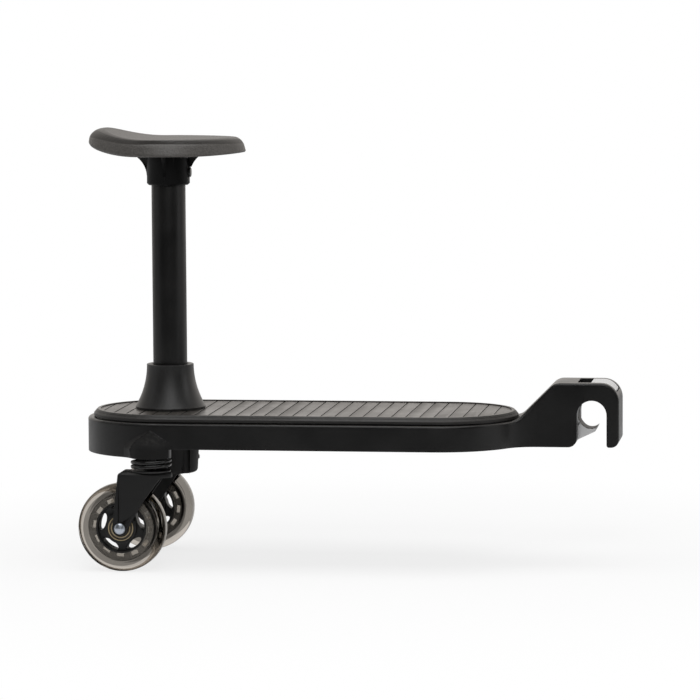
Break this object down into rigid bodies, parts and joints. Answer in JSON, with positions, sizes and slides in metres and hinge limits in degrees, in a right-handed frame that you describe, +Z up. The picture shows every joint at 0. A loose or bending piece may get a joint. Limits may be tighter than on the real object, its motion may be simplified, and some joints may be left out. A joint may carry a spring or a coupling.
{
  "type": "buggy board",
  "caption": "Ride-on board for a pushchair: a seat on a post over a grooved deck, sprung caster wheels at the rear and an arm with a latching hook at the front.",
  "frame": {"origin": "on the floor under the middle of the overall length", "axes": "+X from the casters to the hook, +Y to the rider's left facing the hook, +Z up"},
  "size_m": [0.5494, 0.197, 0.4465],
  "materials": {
    "deck_plastic": "satin moulded black",
    "mat_rubber": "brown-grey tread rubber",
    "collar_plastic": "satin moulded black",
    "socket_plastic": "satin moulded black",
    "screw_steel": "zinc plated",
    "bolt_steel": "black",
    "post_paint": "black powder coat",
    "bracket_plastic": "satin moulded black",
    "seat_moulding": "dark brown-grey, fine moulded grain",
    "latch_plastic": "light grey",
    "latch_spring_steel": "bright wire",
    "cover_plastic": "satin moulded black",
    "bush_plastic": "dark grey bearing plastic",
    "pin_steel": "zinc plated",
    "spring_steel": "gloss black wire",
    "spring_seat_paint": "black",
    "fork_paint": "satin black",
    "rivet_steel": "bright",
    "core_plastic": "black",
    "tyre_clear": "clear smoky polyurethane",
    "bearing_steel": "gold coloured plating"
  },
  "bodies": {
    "deck": {"deck_body": "deck_plastic", "mat": "mat_rubber", "post_collar": "collar_plastic", "post_socket": "socket_plastic", "socket_screws": "screw_steel", "latch_cover": "cover_plastic", "cover_screws": "screw_steel", "latch_spring": "latch_spring_steel", "left_bush": "bush_plastic", "right_bush": "bush_plastic", "left_spring": "spring_steel", "right_spring": "spring_steel"},
    "seat": {"seat_post": "post_paint", "post_plug": "socket_plastic", "seat_bracket": "bracket_plastic", "bracket_bolt": "bolt_steel", "bracket_nut": "screw_steel", "seat_screws": "screw_steel", "seat": "seat_moulding"},
    "latch": {"latch_jaw": "latch_plastic", "latch_button": "latch_plastic"},
    "right_suspension": {"right_spring_seat": "spring_seat_paint"},
    "right_fork": {"right_kingpin": "pin_steel", "right_fork": "fork_paint", "right_axle_rivet": "rivet_steel", "right_axle_sleeve": "pin_steel", "right_axle_spacers": "bush_plastic"},
    "right_wheel": {"right_wheel_core": "core_plastic", "right_tyre": "tyre_clear", "right_bearings": "bearing_steel"},
    "left_suspension": {"left_spring_seat": "spring_seat_paint"},
    "left_fork": {"left_kingpin": "pin_steel", "left_fork": "fork_paint", "left_axle_rivet": "rivet_steel", "left_axle_sleeve": "pin_steel", "left_axle_spacers": "bush_plastic"},
    "left_wheel": {"left_wheel_core": "core_plastic", "left_tyre": "tyre_clear", "left_bearings": "bearing_steel"}
  },
  "joints": [
    {"name": "seat_lift", "type": "slide", "parent": "deck", "child": "seat", "axis": [0, 0, 1], "range_m": [0, 0.108]},
    {"name": "latch_slide", "type": "slide", "parent": "deck", "child": "latch", "axis": [-1, 0, 0], "range_m": [0, 0.013], "stiffness_N_per_m": 500, "springref_m": -0.01, "deforming": ["latch_spring"]},
    {"name": "right_suspension_slide", "type": "slide", "parent": "deck", "child": "right_suspension", "axis": [0, 0, 1], "range_m": [0, 0.002], "stiffness_N_per_m": 20000, "springref_m": -0.003, "deforming": ["right_spring"]},
    {"name": "right_swivel", "type": "hinge", "parent": "right_suspension", "child": "right_fork", "pos_m": [-0.19575, -0.078, 0.1], "axis": [0, 0, 1], "continuous": true},
    {"name": "right_wheel_spin", "type": "hinge", "parent": "right_fork", "child": "right_wheel", "pos_m": [-0.22575, -0.078, 0.045], "axis": [0, 1, 0], "continuous": true},
    {"name": "left_suspension_slide", "type": "slide", "parent": "deck", "child": "left_suspension", "axis": [0, 0, 1], "range_m": [0, 0.002], "stiffness_N_per_m": 20000, "springref_m": -0.003, "deforming": ["left_spring"]},
    {"name": "left_swivel", "type": "hinge", "parent": "left_suspension", "child": "left_fork", "pos_m": [-0.19575, 0.078, 0.1], "axis": [0, 0, 1], "continuous": true},
    {"name": "left_wheel_spin", "type": "hinge", "parent": "left_fork", "child": "left_wheel", "pos_m": [-0.22575, 0.078, 0.045], "axis": [0, 1, 0], "continuous": true}
  ]
}
